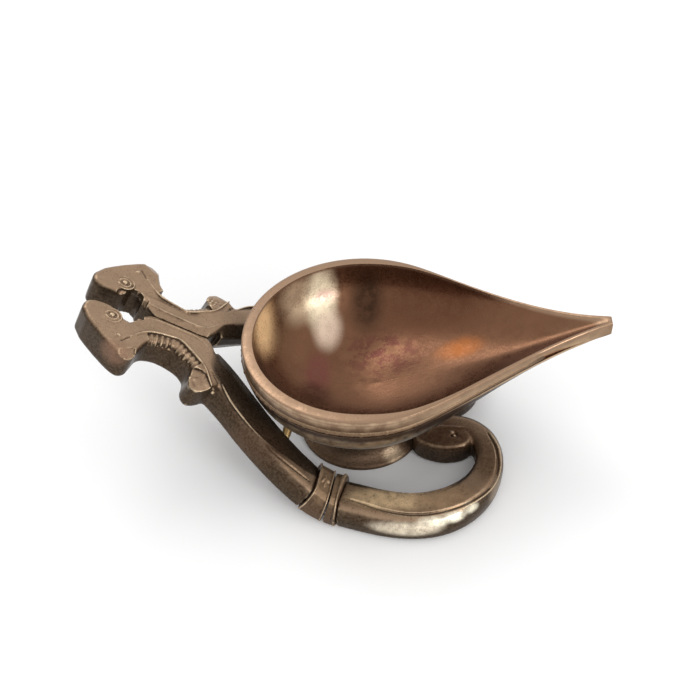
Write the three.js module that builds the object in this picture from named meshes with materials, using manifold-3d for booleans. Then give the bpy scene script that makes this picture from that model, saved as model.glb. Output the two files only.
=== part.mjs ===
// A brass oil lamp (diya): a leaf-shaped bowl with a pouring lip, on a round foot,
// carried between the two arms of a lyre-shaped handle whose ends are animal heads.
// Millimetres, +Z up. The lamp stands on the plane z = 0, its lip points along +X,
// and the two arms mirror each other across the plane y = 0.
import * as THREE from 'three';
import { mergeVertices } from 'three/addons/utils/BufferGeometryUtils.js';
import Module from 'manifold-3d';

const wasm = await Module();
wasm.setup();

// Bowl
const rimHeight = 42;
const bowlRadius = 37.8;
const bowlCentreX = 0.6;
const lipTipX = 76.8;
const lipRise = 7.4;
const tipHalfWidth = 1.6;
const rimWidth = 3.6;
const lipRimWidth = 1;
const rimNarrowsTo = 32;
const channelEndX = 75.6;
const bandHeight = 7;
const lipThickness = 4.6;
const bodyInset = 0.2;
const rimRounding = 1.1;
const lipRounding = 0.6;
const bowlDepth = 23;
const bowlRoundness = 2.3;
const bodyRoundness = 1.95;
const deepestRounding = 30;

// Beaded moulding, which lies in a groove round the bowl and ends part of the way along the lip
const mouldingRadius = 0.7;
const grooveHeight = 2;
const grooveDepth = 1.7;
const flangeHeight = 0.9;
const mouldingEndX = 58;
const grooveFade = 9;

// Foot
const footRadius = 20.6;
const footWaistRadius = 14.5;
const footHeight = 16.3;
const footWall = 2.6;
const footRoof = 2.4;

// Handle arms
const armThickness = 8.7;
const headThickness = 11;
const armWidth = 13.3;
const loopEndWidth = 9;
const neckTilt = 39.5;
const headTilt = 27;
const bendX = -13;
const bendRadius = 22;
const neckCurveLength = 78;
const leftSpread = 2.5;
const leftLoopShare = 0.83;
const shortenedFromX = 12;
const middleGap = 0.3;
const edgeBevel = 0.8;
const seatGap = 0.3;

// Joint between a loop and a neck
const jointQ = -9.3;
const wideBandLength = 8.3;
const narrowBandLength = 4.4;
const bandGap = 0.6;
const bandProud = 1.1;
const bandShift = 0.6;
const bandWall = 1.9;

// Pins between the necks and the bowl's belly
const pinRadius = 1.5;
const pinLength = 9;
const pinX = -22.1;
const pinFromMiddle = 19.3;
const pinZ = 18.7;
const pinLean = 41;

const brass = (colour, roughness) =>
  new THREE.MeshStandardMaterial({ color: colour, roughness, metalness: 1 });

// A closed body through rings of points: each ring has as many points as the next,
// and the first and last rings are closed by fans about their middles.
function loft(rings, closeEnds = true) {
  const count = rings[0].length;
  const positions = rings.flat().flatMap((p) => [p.x, p.y, p.z]);
  const indices = [];
  const last = closeEnds ? rings.length - 1 : rings.length;
  for (let i = 0; i < last; i += 1) {
    const a = i * count;
    const b = ((i + 1) % rings.length) * count;
    for (let j = 0; j < count; j += 1) {
      const k = (j + 1) % count;
      indices.push(a + j, a + k, b + j, a + k, b + k, b + j);
    }
  }
  if (closeEnds) {
    for (const [ring, start, flip] of [[rings[0], 0, true], [rings.at(-1), last * count, false]]) {
      const middle = ring.reduce((s, p) => s.add(p), new THREE.Vector3()).divideScalar(count);
      const hub = positions.length / 3;
      positions.push(middle.x, middle.y, middle.z);
      for (let j = 0; j < count; j += 1) {
        const k = (j + 1) % count;
        if (flip) indices.push(hub, start + k, start + j);
        else indices.push(hub, start + j, start + k);
      }
    }
  }
  const geometry = new THREE.BufferGeometry();
  geometry.setAttribute('position', new THREE.Float32BufferAttribute(positions, 3));
  geometry.setIndex(indices);
  return outward(geometry);
}

// Turns a closed body's faces so that they point out.
function outward(geometry) {
  const p = geometry.attributes.position;
  const index = geometry.index.array;
  const [a, b, c] = [new THREE.Vector3(), new THREE.Vector3(), new THREE.Vector3()];
  let volume = 0;
  for (let i = 0; i < index.length; i += 3) {
    a.fromBufferAttribute(p, index[i]);
    b.fromBufferAttribute(p, index[i + 1]);
    c.fromBufferAttribute(p, index[i + 2]);
    volume += a.dot(b.cross(c));
  }
  if (volume < 0) geometry.setIndex(Array.from(index).reverse());
  return geometry;
}

function toSolid(geometry) {
  const bare = geometry.clone();
  bare.deleteAttribute('normal');
  bare.deleteAttribute('uv');
  const merged = outward(mergeVertices(bare, 1e-4));
  return new wasm.Manifold(new wasm.Mesh({
    numProp: 3,
    vertProperties: new Float32Array(merged.attributes.position.array),
    triVerts: new Uint32Array(merged.index.array),
  }));
}

function toGeometry(solid) {
  const mesh = solid.getMesh();
  const geometry = new THREE.BufferGeometry();
  geometry.setAttribute('position', new THREE.BufferAttribute(new Float32Array(mesh.vertProperties), 3));
  geometry.setIndex(new THREE.BufferAttribute(new Uint32Array(mesh.triVerts), 1));
  return geometry;
}

const lamp = new THREE.Group();
function addPiece(name, geometry, material) {
  const mesh = new THREE.Mesh(geometry, material);
  mesh.name = name;
  lamp.add(mesh);
}

// A leaf in plan: a round back, and two sides that sweep in to a narrow tip. The points run
// from the tip round the back to the tip again.
function leafOutline(radius, tipX) {
  const steps = 12;
  const turn = Math.acos(radius / (tipX - bowlCentreX));
  const back = new THREE.EllipseCurve(bowlCentreX, 0, radius, radius, turn, 2 * Math.PI - turn);
  const start = back.getPoint(0);
  const reach = tipX - start.x;
  const leave = new THREE.Vector2(Math.sin(turn), -Math.cos(turn));
  const side = new THREE.CubicBezierCurve(
    start,
    start.clone().addScaledVector(leave, reach * 0.3),
    new THREE.Vector2(start.x + reach * 0.64, start.y * 0.2),
    new THREE.Vector2(tipX, tipHalfWidth));
  const half = side.getPoints(steps).reverse();
  const round = back.getPoints(steps * 3).slice(1, -1);
  const other = half.map((p) => new THREE.Vector2(p.x, -p.y)).reverse();
  return [...half, ...round, ...other];
}

// The rim's inner edge: its outline moved in by the rim's width, which is less along the lip.
function innerEdge(outline) {
  return outline.map((p, i) => {
    const before = outline[Math.max(i - 1, 0)];
    const after = outline[Math.min(i + 1, outline.length - 1)];
    const inward = new THREE.Vector2(before.y - after.y, after.x - before.x).normalize();
    const narrowing = THREE.MathUtils.smoothstep(p.x, bowlCentreX, rimNarrowsTo);
    const edge = p.clone().addScaledVector(inward, rimWidth + (lipRimWidth - rimWidth) * narrowing);
    edge.x = Math.min(edge.x, channelEndX);
    return edge;
  });
}

// How far along the lip a place is, from 0 at the round bowl to 1 at the tip.
const alongLip = (x) => THREE.MathUtils.clamp((x - bowlCentreX) / (lipTipX - bowlCentreX), 0, 1);
const rimZ = (x) => rimHeight + lipRise * (alongLip(x - 10) / alongLip(lipTipX - 10)) ** 2;

// A ring of the bowl between its round floor (share 0) and a leaf outline (share 1), which
// lies startDrop below the rim. A roundness of 1 makes a cone and 2 a round bowl.
function bowlRing(outline, share, floorRadius, startDrop, floorDrop, roundness) {
  return outline.map((p) => {
    const out = new THREE.Vector2(p.x - bowlCentreX, p.y);
    const reach = out.length();
    const r = floorRadius + (reach - floorRadius) * share;
    const power = roundness + (1.1 - roundness) * lipShare(p.x);
    const fall = (1 - share ** power) ** (1 / power);
    const start = startDrop(p.x);
    const x = bowlCentreX * share + out.x / reach * r;
    return new THREE.Vector3(x, out.y / reach * r, rimZ(x) - start - (floorDrop - start) * fall);
  });
}

// How much of the lip's shape a place has, from 0 at the round bowl to 1 near the tip.
const lipShare = (x) => THREE.MathUtils.smoothstep(x, 5, lipTipX - 8);
const bandDrop = (x) => bandHeight + (lipThickness - bandHeight) * lipShare(x);
const grooveTop = (x) => bandDrop(x) - flangeHeight - grooveHeight;
const grooveInset = (x) => grooveDepth
  * (1 - THREE.MathUtils.smoothstep(x, mouldingEndX + 1, mouldingEndX + 1 + grooveFade));

// One point of the rim's leaf, moved in by inset and down by drop.
function rimPoint(p, inset, drop) {
  const scale = 1 - inset / Math.hypot(p.x - bowlCentreX, p.y);
  return new THREE.Vector3(bowlCentreX + (p.x - bowlCentreX) * scale, p.y * scale, rimZ(p.x) - drop);
}

// Rounds the corners of a closed ring, by drawing each point towards its neighbours. The
// deeper a ring lies in the bowl, the rounder it is.
function rounded(ring, share) {
  const count = ring.length;
  let points = ring;
  for (let pass = 0; pass < (1 - share) * deepestRounding; pass += 1) {
    points = points.map((p, i) => {
      const neighbours = points[(i + 1) % count].clone().add(points[(i + count - 1) % count]);
      return p.clone().multiplyScalar(0.5).addScaledVector(neighbours, 0.25);
    });
  }
  return points;
}

function bowlGeometry() {
  const outline = leafOutline(bowlRadius, lipTipX);
  const inner = innerEdge(outline);
  const bodyTop = leafOutline(bowlRadius - bodyInset, lipTipX - 2 * bodyInset);
  const rounding = (x) => rimRounding + (lipRounding - rimRounding) * lipShare(x);
  const bodyRings = 10;
  const innerRings = 10;
  const rings = [];
  for (let i = 0; i <= bodyRings; i += 1) {
    const share = Math.sin(i / bodyRings * Math.PI / 2);
    const floorDrop = rimHeight - footHeight - seatGap;
    rings.push(rounded(bowlRing(bodyTop, share, footWaistRadius, bandDrop, floorDrop, bodyRoundness), share));
  }
  const edges = [
    (x) => [0, bandDrop(x) - 0.3],
    (x) => [0, bandDrop(x) - flangeHeight],
    (x) => [grooveInset(x), bandDrop(x) - flangeHeight],
    (x) => [grooveInset(x), grooveTop(x)],
    (x) => [0, grooveTop(x)],
    (x) => [0, rounding(x)],
    (x) => [rounding(x) * 0.3, rounding(x) * 0.3],
    (x) => [rounding(x), 0],
  ];
  for (const edge of edges) rings.push(outline.map((p) => rimPoint(p, ...edge(p.x))));
  for (let i = 0; i < innerRings; i += 1) {
    const share = Math.cos(i / innerRings * Math.PI / 2);
    rings.push(rounded(bowlRing(inner, share, 0, () => 0, bowlDepth, bowlRoundness), share));
  }
  return loft(rings);
}
addPiece('bowl', bowlGeometry(), brass('#9d8062', 0.3));

// The moulding is a wire bent round the leaf, with blunt ends.
function mouldingGeometry() {
  const corners = 8;
  const outline = leafOutline(bowlRadius, lipTipX).filter((p) => p.x < mouldingEndX);
  const inset = grooveDepth - mouldingRadius - seatGap;
  return loft(outline.map((p) => {
    const middle = rimPoint(p, inset, grooveTop(p.x) + grooveHeight / 2);
    const out = new THREE.Vector3(p.x - bowlCentreX, p.y, 0).normalize();
    const ring = [];
    for (let i = 0; i < corners; i += 1) {
      const turn = i / corners * 2 * Math.PI;
      const v = middle.clone().addScaledVector(out, mouldingRadius * Math.cos(turn));
      v.z += mouldingRadius * Math.sin(turn);
      ring.push(v);
    }
    return ring;
  }));
}
addPiece('beaded_moulding', mouldingGeometry(), brass('#8a6f55', 0.4));

// The foot is a flared ring, hollow below.
function footGeometry() {
  const flare = new THREE.QuadraticBezierCurve(
    new THREE.Vector2(footRadius - 0.6, 1.6),
    new THREE.Vector2(footWaistRadius, 3.2),
    new THREE.Vector2(footWaistRadius, footHeight));
  const hollow = new THREE.QuadraticBezierCurve(
    new THREE.Vector2(footWaistRadius - footWall, footHeight - footRoof),
    new THREE.Vector2(footWaistRadius - footWall, 2.6),
    new THREE.Vector2(footRadius - footWall, 0));
  const profile = [
    new THREE.Vector2(footRadius - footWall, 0),
    new THREE.Vector2(footRadius, 0),
    new THREE.Vector2(footRadius, 1),
    ...flare.getPoints(8),
    new THREE.Vector2(0, footHeight),
    new THREE.Vector2(0, footHeight - footRoof),
    ...hollow.getPoints(6),
  ];
  return new THREE.LatheGeometry(profile, 48).rotateX(Math.PI / 2);
}
addPiece('foot_ring', footGeometry(), brass('#8a7050', 0.4));

// The handle is drawn flat, with q along X, s away from the middle plane and h up from its
// underside. It is bent up behind the bowl, and then flattens slowly to the heads, where it is
// thicker. The left loop is a little shorter than the right one, and the left neck stands a
// little further out behind the bowl.
const tilt = THREE.MathUtils.degToRad(neckTilt);
const flattening = THREE.MathUtils.degToRad(neckTilt - headTilt);
const bendStart = bendX + bendRadius * Math.tan(tilt / 2);
const bendLength = bendRadius * tilt;
const curveRadius = neckCurveLength / flattening;
const swell = (q) => 1 + (headThickness / armThickness - 1) * THREE.MathUtils.smoothstep(-q, 40, 60);
const spread = (q) => leftSpread
  * (THREE.MathUtils.smoothstep(q, -64, -46) - THREE.MathUtils.smoothstep(q, -15, 10));
function bent(q, s, h, side) {
  const run = Math.max(0, bendStart - q);
  const past = Math.max(0, q - shortenedFromX);
  const x0 = side > 0 ? q - past * (1 - leftLoopShare) : q;
  const y = side > 0 ? s + spread(q) : -s;
  if (run === 0) return new THREE.Vector3(x0, y, h);
  const first = Math.min(run, bendLength) / bendRadius;
  const rest = THREE.MathUtils.clamp(run - bendLength, 0, neckCurveLength);
  const angle = first - rest / curveRadius;
  const straight = Math.max(0, run - bendLength - neckCurveLength);
  const x = bendStart - bendRadius * Math.sin(first)
    - curveRadius * (Math.sin(first) - Math.sin(angle)) - straight * Math.cos(angle);
  const z = bendRadius * (1 - Math.cos(first))
    + curveRadius * (Math.cos(angle) - Math.cos(first)) + straight * Math.sin(angle);
  const high = h * swell(q);
  return new THREE.Vector3(x + high * Math.sin(angle), y, z + high * Math.cos(angle));
}

// The middle line of one arm in the flat drawing, from the neck round the loop to the scroll.
const armLine = new THREE.CatmullRomCurve3([
  [-61.5, 8.9], [-54.5, 12.6], [-47.4, 17.1], [-39.7, 22.9], [-29.2, 29.2], [-21.4, 32.5], [-14, 34.7],
  [-7, 36.5], [0, 38.4], [8, 40.4], [16, 41.3], [23.5, 40.4], [30.8, 37.2], [37, 31.7], [40.7, 25],
  [42, 18], [40.2, 11.4], [35.6, 6.8], [30, 5.4], [25, 7], [23.4, 11],
].map(([q, s]) => new THREE.Vector3(q, s, 0)), false, 'centripetal');
const lineLength = armLine.getLength();

// Sections of the loop and of the neck: how far out and how high each corner lies, as shares
// of half the width and of the thickness. The neck slopes down to its inner side.
const loopSection = [
  [-0.84, 0], [-1, 0.14], [-1, 0.84], [-0.7, 1], [0.5, 1], [0.76, 0.93],
  [0.94, 0.7], [1, 0.42], [0.96, 0.1], [0.8, 0],
];
const neckSection = [
  [-0.6, 0], [-1, 0.48], [-1, 0.84], [-0.3, 1], [0.5, 1], [0.76, 0.93],
  [0.94, 0.7], [1, 0.42], [0.96, 0.1], [0.8, 0],
];

function widthAt(at) {
  const narrowing = THREE.MathUtils.smoothstep(at, 0.6, 0.8);
  const scroll = THREE.MathUtils.smoothstep(at, 0.8, 1);
  return armWidth + (loopEndWidth - armWidth) * narrowing - 1.6 * scroll;
}

// A ring round the arm, proud of its own surface, or inside it where proud is below 0. The
// underside of the bands is level with the arm's, so that the lamp stands flat.
function armRing(at, proud, side, section, shift) {
  const middle = armLine.getPointAt(at);
  const along = armLine.getTangentAt(at);
  const halfWidth = widthAt(at) / 2 + proud;
  const bottom = proud < 0 ? bandProud - proud : 0;
  return section.map(([out, up]) => {
    const q = middle.x - along.y * (out * halfWidth - shift);
    const s = middle.y + along.x * (out * halfWidth - shift);
    const h = bottom + up * (armThickness + proud - bottom);
    return bent(q, s, h, side);
  });
}

function armRings(from, to, steps, side, section, proud = 0, shift = 0) {
  const rings = [];
  for (let i = 0; i <= steps; i += 1) {
    rings.push(armRing(from + (to - from) * i / steps, proud, side, section, shift));
  }
  return rings;
}

// The share of the line's length at which its q first passes a value.
function shareAt(q) {
  let low = 0;
  let high = 0.5;
  for (let i = 0; i < 40; i += 1) {
    const middle = (low + high) / 2;
    if (armLine.getPointAt(middle).x < q) low = middle;
    else high = middle;
  }
  return low;
}

// Where each piece of the joint begins and ends along the arm's line. Inside the bands the
// neck and the loop are thinner, and meet end to end.
const share = (length) => length / lineLength;
const jointAt = shareAt(jointQ);
const wideTo = jointAt - share(bandGap / 2);
const wideFrom = wideTo - share(wideBandLength);
const narrowFrom = jointAt + share(bandGap / 2);
const narrowTo = narrowFrom + share(narrowBandLength);
const neckShoulder = wideFrom - share(seatGap);
const loopShoulder = narrowTo + share(seatGap);
const shankProud = bandProud - bandWall - seatGap;

// A band is a sleeve round the arm, open at both ends.
function sleeveGeometry(from, to, side) {
  const outer = armRings(from, to, 3, side, loopSection, bandProud, bandShift);
  const inner = armRings(from, to, 3, side, loopSection, bandProud - bandWall, bandShift);
  return loft([...outer, ...inner.reverse()], false);
}

// Points along a smooth line through a list of corners.
function smooth(list, steps) {
  return new THREE.SplineCurve(list.map(([q, s]) => new THREE.Vector2(q, s))).getPoints(steps);
}

// A plate as thick as the arm, with small bevels, bent as the handle is.
function flatPlate(shape, side) {
  const plate = new THREE.ExtrudeGeometry(shape, {
    depth: armThickness - 2 * edgeBevel,
    bevelThickness: edgeBevel,
    bevelSize: edgeBevel,
    bevelOffset: -edgeBevel,
    bevelSegments: 1,
  });
  const p = plate.attributes.position;
  for (let i = 0; i < p.count; i += 1) {
    const v = bent(p.getX(i), p.getY(i), p.getZ(i) + edgeBevel, side);
    p.setXYZ(i, v.x, v.y, v.z);
  }
  return toSolid(plate);
}

// The last curl of the scroll in the flat drawing, which ends in a round eye beside the foot.
const curlCorners = [
  [19, 3], [16.8, 9], [18, 13.4], [21.6, 15.9], [27.6, 17.3], [33.9, 15.9], [36.4, 12.4],
  [34.2, 8.6], [29, 6.5], [24, 3],
];

// The arm from its joint round the loop to the scroll, cut away where it meets the foot.
function loopGeometry(side) {
  const arm = toSolid(loft([
    ...armRings(narrowFrom, loopShoulder, 2, side, loopSection, shankProud, bandShift),
    ...armRings(loopShoulder, 1, 56, side, loopSection),
  ]));
  const curlEnd = flatPlate(new THREE.Shape(smooth([...curlCorners, curlCorners[0]], 24).slice(1)), side);
  const round = footRadius + seatGap;
  const foot = toSolid(new THREE.CylinderGeometry(round, round, 4 * armThickness, 48).rotateX(Math.PI / 2));
  return toGeometry(arm.add(curlEnd).subtract(foot));
}

// The neck and head in the flat drawing, as seen from above.
const neckInner = [[-46, 18.5], [-51, 15.4], [-55, 11.2], [-58.6, 6.4], [-60.8, 2.6]];
const throat = [[-82, 1], [-84.5, 3], [-87.5, 5.4], [-90, 5.2], [-92, 3.7]];
const cheek = [[-95, 3], [-99.4, 3.4], [-101.5, 5.4], [-101.6, 8.2]];
const muzzle = [[-99.2, 11.8], [-95.2, 15.4], [-90.6, 18.9], [-87.4, 20.8], [-84.8, 21.2], [-83.1, 19.6]];
const mane = [
  [-82.2, 16.6], [-81.3, 13.8], [-79.4, 11.7], [-75.5, 10.5], [-71.2, 10.9], [-67.4, 12.2], [-65.4, 14.4],
];
const curl = [[-65.3, 17], [-65.4, 19.4], [-63.4, 21.9], [-60.4, 21], [-57.9, 18.7]];
const neckOuter = [[-55.6, 17.1], [-53.2, 18.2], [-49, 21.6], [-46, 23.4]];

function headShape() {
  const contact = middleGap / 2;
  return new THREE.Shape([
    ...smooth([...neckInner, [-63, contact]], 12),
    ...smooth([[-80, contact], ...throat, ...cheek], 18),
    ...smooth(muzzle, 8),
    ...smooth(mane, 12),
    ...smooth([...curl, ...neckOuter], 14),
  ]);
}

function neckSolid(side) {
  const neck = loft([
    ...armRings(0, neckShoulder, 18, side, neckSection),
    ...armRings(neckShoulder, wideTo, 3, side, loopSection, shankProud, bandShift),
  ]);
  return toSolid(neck).add(flatPlate(headShape(), side));
}

// A rod from a neck up to the bowl's belly, with its ends cut to fit them.
function pinGeometry(neck, side) {
  const lean = THREE.MathUtils.degToRad(pinLean);
  const along = new THREE.Vector3(Math.cos(lean) * 0.38, -side * Math.cos(lean) * 0.92, Math.sin(lean));
  const rod = new THREE.CylinderGeometry(pinRadius, pinRadius, pinLength, 16);
  const up = new THREE.Vector3(0, 1, 0);
  rod.applyQuaternion(new THREE.Quaternion().setFromUnitVectors(up, along.clone().normalize()));
  rod.translate(pinX, side * pinFromMiddle, pinZ);
  const gap = along.multiplyScalar(seatGap);
  const fitted = toSolid(rod)
    .subtract(neck.translate(gap.toArray()))
    .subtract(toSolid(bowlGeometry()).translate(gap.clone().negate().toArray()));
  const pieces = fitted.decompose().sort((a, b) => b.volume() - a.volume());
  return toGeometry(pieces[0]);
}

for (const [name, side] of [['right', -1], ['left', 1]]) {
  addPiece(`${name}_loop_and_scroll`, loopGeometry(side), brass('#a08465', 0.33));
  const neck = neckSolid(side);
  addPiece(`${name}_neck_and_head`, toGeometry(neck), brass('#a5886a', 0.33));
  addPiece(`${name}_wide_band`, sleeveGeometry(wideFrom, wideTo, side), brass('#9a7d5c', 0.35));
  addPiece(`${name}_narrow_band`, sleeveGeometry(narrowFrom, narrowTo, side), brass('#9a7d5c', 0.35));
  addPiece(`${name}_bowl_pin`, pinGeometry(neck, side), brass('#b0925c', 0.35));
}

// The lamp's origin is under the middle of its whole length.
const extent = new THREE.Box3().setFromObject(lamp);
lamp.position.x = -(extent.min.x + extent.max.x) / 2;

export default lamp;
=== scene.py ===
# %% [markdown]
# A brass oil lamp, or diya. A leaf-shaped bowl with a pouring lip stands on a round foot,
# between the two arms of a lyre-shaped handle that end in animal heads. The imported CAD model
# is loaded first and never changed: every piece below takes its place from it. Lengths are
# written in millimetres from the middle of the bowl, and lamp_shift brings them to the frame.

# %% Load the frame
import math
import random

import bpy
import numpy as np
from mathutils import Matrix, Vector


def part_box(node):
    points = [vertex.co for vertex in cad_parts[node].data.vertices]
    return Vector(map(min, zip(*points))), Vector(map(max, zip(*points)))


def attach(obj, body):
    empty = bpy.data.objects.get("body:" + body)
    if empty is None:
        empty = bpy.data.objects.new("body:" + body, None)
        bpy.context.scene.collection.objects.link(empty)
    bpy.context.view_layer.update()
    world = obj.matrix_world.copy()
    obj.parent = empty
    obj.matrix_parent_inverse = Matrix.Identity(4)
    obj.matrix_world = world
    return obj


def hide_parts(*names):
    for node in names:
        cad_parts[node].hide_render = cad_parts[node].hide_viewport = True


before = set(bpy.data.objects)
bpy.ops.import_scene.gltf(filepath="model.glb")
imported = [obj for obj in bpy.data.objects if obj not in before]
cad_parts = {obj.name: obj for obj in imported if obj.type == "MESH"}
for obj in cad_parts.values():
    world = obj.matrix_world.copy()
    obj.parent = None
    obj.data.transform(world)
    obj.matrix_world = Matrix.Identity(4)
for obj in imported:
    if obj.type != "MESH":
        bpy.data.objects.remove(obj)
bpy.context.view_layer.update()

MM = 0.001
bowl_centre = 0.6
bowl_radius = 37.8
lamp_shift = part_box("bowl")[0][0] - (bowl_centre - bowl_radius) * MM
arms = {"right": -1, "left": 1}

# %% [markdown]
# The camera looks down on the lamp from its right side, a little over an arm's length away,
# with the small roll of a hand-held camera. Its place is worked out from two angles and a
# distance, as a photographer would note them, so that they can be changed one by one.

# %% Place the camera
camera_turn = 0.0785912
camera_height = 0.7665782
camera_roll = -0.0360175
camera_distance = 0.351990
aim_right = 0.0040777
aim_up = 0.0250094
sensor_width = 36
focal_length = 53.329

back = Vector((math.sin(camera_turn) * math.cos(camera_height),
               -math.cos(camera_turn) * math.cos(camera_height),
               math.sin(camera_height)))
level = Vector((math.cos(camera_turn), math.sin(camera_turn), 0))
above = back.cross(level)
right = math.cos(camera_roll) * level + math.sin(camera_roll) * above
up = math.cos(camera_roll) * above - math.sin(camera_roll) * level
place = back * camera_distance - right * aim_right + up * aim_up + Vector((lamp_shift, 0, 0))

bpy.ops.object.camera_add()
camera = bpy.context.object
camera.name = "lamp_camera"
camera.data.sensor_width = sensor_width
camera.data.lens = focal_length
camera.data.clip_start = 0.01
camera.matrix_world = Matrix.Translation(place) @ Matrix((right, up, back)).transposed().to_4x4()
bpy.context.scene.camera = camera
bpy.context.scene.view_settings.view_transform = "Standard"
print("camera at", [round(v, 4) for v in place])

# %% [markdown]
# Shader maths reads best as plain arithmetic. Tone wraps one output socket, so that
# a + b, a * 2 or 1 - a adds the Math node for it. Finish holds one material: node() adds any
# node, and mix(), noise() and patch() are the few things that every finish here is made of.

# %% Write shader maths as arithmetic
class Tone:
    """One output socket, with the arithmetic that the finishes use."""

    def __init__(self, finish, socket):
        self.finish = finish
        self.socket = socket

    def _math(self, operation, *values):
        return self.finish.node("ShaderNodeMath", {"operation": operation}, dict(enumerate(values)))

    def __add__(self, other):
        return self._math("ADD", self, other)

    def __radd__(self, other):
        return self._math("ADD", other, self)

    def __sub__(self, other):
        return self._math("SUBTRACT", self, other)

    def __rsub__(self, other):
        return self._math("SUBTRACT", other, self)

    def __mul__(self, other):
        return self._math("MULTIPLY", self, other)

    def __rmul__(self, other):
        return self._math("MULTIPLY", other, self)

    def ramp(self, low, high):
        """0 below low, 1 above high, and a soft step between them."""
        return self.finish.node("ShaderNodeMapRange", {"interpolation_type": "SMOOTHSTEP"},
                                {"Value": self, "From Min": low, "From Max": high}, "Result")


def colour(red, green, blue):
    """A screen colour, 0 to 255, as the linear colour that a shader takes."""
    linear = [c / 12.92 if c <= 0.04045 else ((c + 0.055) / 1.055) ** 2.4
              for c in (red / 255, green / 255, blue / 255)]
    return (*linear, 1)


class Finish:
    """One material in the making. Its patterns follow the piece's own places."""

    def __init__(self, name):
        self.material = bpy.data.materials.new(name)
        self.material.use_nodes = True
        self.tree = self.material.node_tree
        self.tree.nodes.clear()
        self.place = self.node("ShaderNodeTexCoord", {}, {}, "Object")

    def node(self, kind, settings, values, output=0):
        """Adds any node: its settings first, then the values or links of its sockets."""
        node = self.tree.nodes.new(kind)
        for key, value in settings.items():
            setattr(node, key, value)
        for key, value in values.items():
            if isinstance(value, Tone):
                self.tree.links.new(value.socket, node.inputs[key])
            else:
                node.inputs[key].default_value = value
        return Tone(self, node.outputs[output]) if node.outputs else None

    def mix(self, share, first, second):
        """The first colour where share is 0 and the second where it is 1."""
        return self.node("ShaderNodeMix", {"data_type": "RGBA"}, {0: share, 6: first, 7: second}, 2)

    def noise(self, size, stretch=(1, 1, 1), detail=3.0, rough=0.55):
        """Cloudy noise about 0 to 1, whose blobs are about size millimetres across."""
        scaled = self.node("ShaderNodeVectorMath", {"operation": "MULTIPLY"},
                           {0: self.place, 1: tuple(s / (size * MM) for s in stretch)})
        raw = self.node("ShaderNodeTexNoise", {}, {"Vector": scaled, "Scale": 1.0, "Detail": detail,
                                                   "Roughness": rough}, "Fac")
        return raw.ramp(0.3, 0.7)

    def patch(self, centre, radii, soft=0.5):
        """1 inside an oval place on the lamp, given in millimetres, and 0 outside it."""
        moved = self.node("ShaderNodeVectorMath", {"operation": "SUBTRACT"},
                          {0: self.place, 1: (centre[0] * MM + lamp_shift, centre[1] * MM, centre[2] * MM)})
        scaled = self.node("ShaderNodeVectorMath", {"operation": "MULTIPLY"},
                           {0: moved, 1: tuple(1 / (r * MM) for r in radii)})
        reach = self.node("ShaderNodeVectorMath", {"operation": "LENGTH"}, {0: scaled}, "Value")
        return 1 - reach.ramp(1 - soft, 1 + soft)

    def attribute(self, name):
        """A number that the piece stores at each of its points."""
        return self.node("ShaderNodeAttribute", {"attribute_name": name}, {}, "Fac")

    def close(self, base, metallic, rough, height, depth):
        """Joins everything to one Principled shader. depth is the bump's depth in millimetres."""
        bump = self.node("ShaderNodeBump", {}, {"Height": height, "Distance": depth * MM, "Strength": 1.0})
        shader = self.node("ShaderNodeBsdfPrincipled", {}, {
            "Base Color": base, "Metallic": metallic, "Roughness": rough, "Normal": bump,
            "Specular IOR Level": 0.2})
        self.node("ShaderNodeOutputMaterial", {}, {"Surface": shader})
        return self.material


# %% [markdown]
# The lamp is shown on plain white. The floor is a real pale surface, so that it keeps the
# lamp's soft shadow. Metal shows whatever stands round it, so the camera, reflections and
# glass all see a white world, while the light that falls on the floor stays at a plain level.

# %% Set the floor, the world and the lamps
floor_size = 6
floor_grey = 0.96
world_seen = 1.0
world_felt = 0.92


def studio_floor():
    bpy.ops.mesh.primitive_plane_add(size=floor_size)
    floor = bpy.context.object
    floor.name = "studio_floor"
    paper = bpy.data.materials.new("white_paper")
    paper.use_nodes = True
    sheet = paper.node_tree.nodes["Principled BSDF"]
    sheet.inputs["Base Color"].default_value = (floor_grey, floor_grey, floor_grey, 1)
    sheet.inputs["Roughness"].default_value = 0.9
    sheet.inputs["Specular IOR Level"].default_value = 0.1
    floor.data.materials.append(paper)


def white_world():
    """White to the camera, to reflections and through glass, and a little darker to the floor."""
    world = bpy.data.worlds.new("white_studio")
    world.use_nodes = True
    bpy.context.scene.world = world
    tree = world.node_tree
    tree.nodes.clear()
    rays = tree.nodes.new("ShaderNodeLightPath")
    seen = rays.outputs["Is Camera Ray"]
    for kind in ("Is Glossy Ray", "Is Transmission Ray"):
        either = tree.nodes.new("ShaderNodeMath")
        either.operation = "MAXIMUM"
        tree.links.new(seen, either.inputs[0])
        tree.links.new(rays.outputs[kind], either.inputs[1])
        seen = either.outputs[0]
    choice = tree.nodes.new("ShaderNodeMixShader")
    tree.links.new(seen, choice.inputs[0])
    for socket, grey in ((1, world_felt), (2, world_seen)):
        light = tree.nodes.new("ShaderNodeBackground")
        light.inputs["Color"].default_value = (grey, grey, grey, 1)
        tree.links.new(light.outputs[0], choice.inputs[socket])
    output = tree.nodes.new("ShaderNodeOutputWorld")
    tree.links.new(choice.outputs[0], output.inputs["Surface"])


def soft_lamp(name, place, aim, size, watts):
    bpy.ops.object.light_add(type="AREA", location=place)
    lamp = bpy.context.object
    lamp.name = name
    lamp.data.shape = "DISK"
    lamp.data.size = size
    lamp.data.energy = watts
    lamp.rotation_euler = (Vector(aim) - Vector(place)).to_track_quat("-Z", "Y").to_euler()


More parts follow.
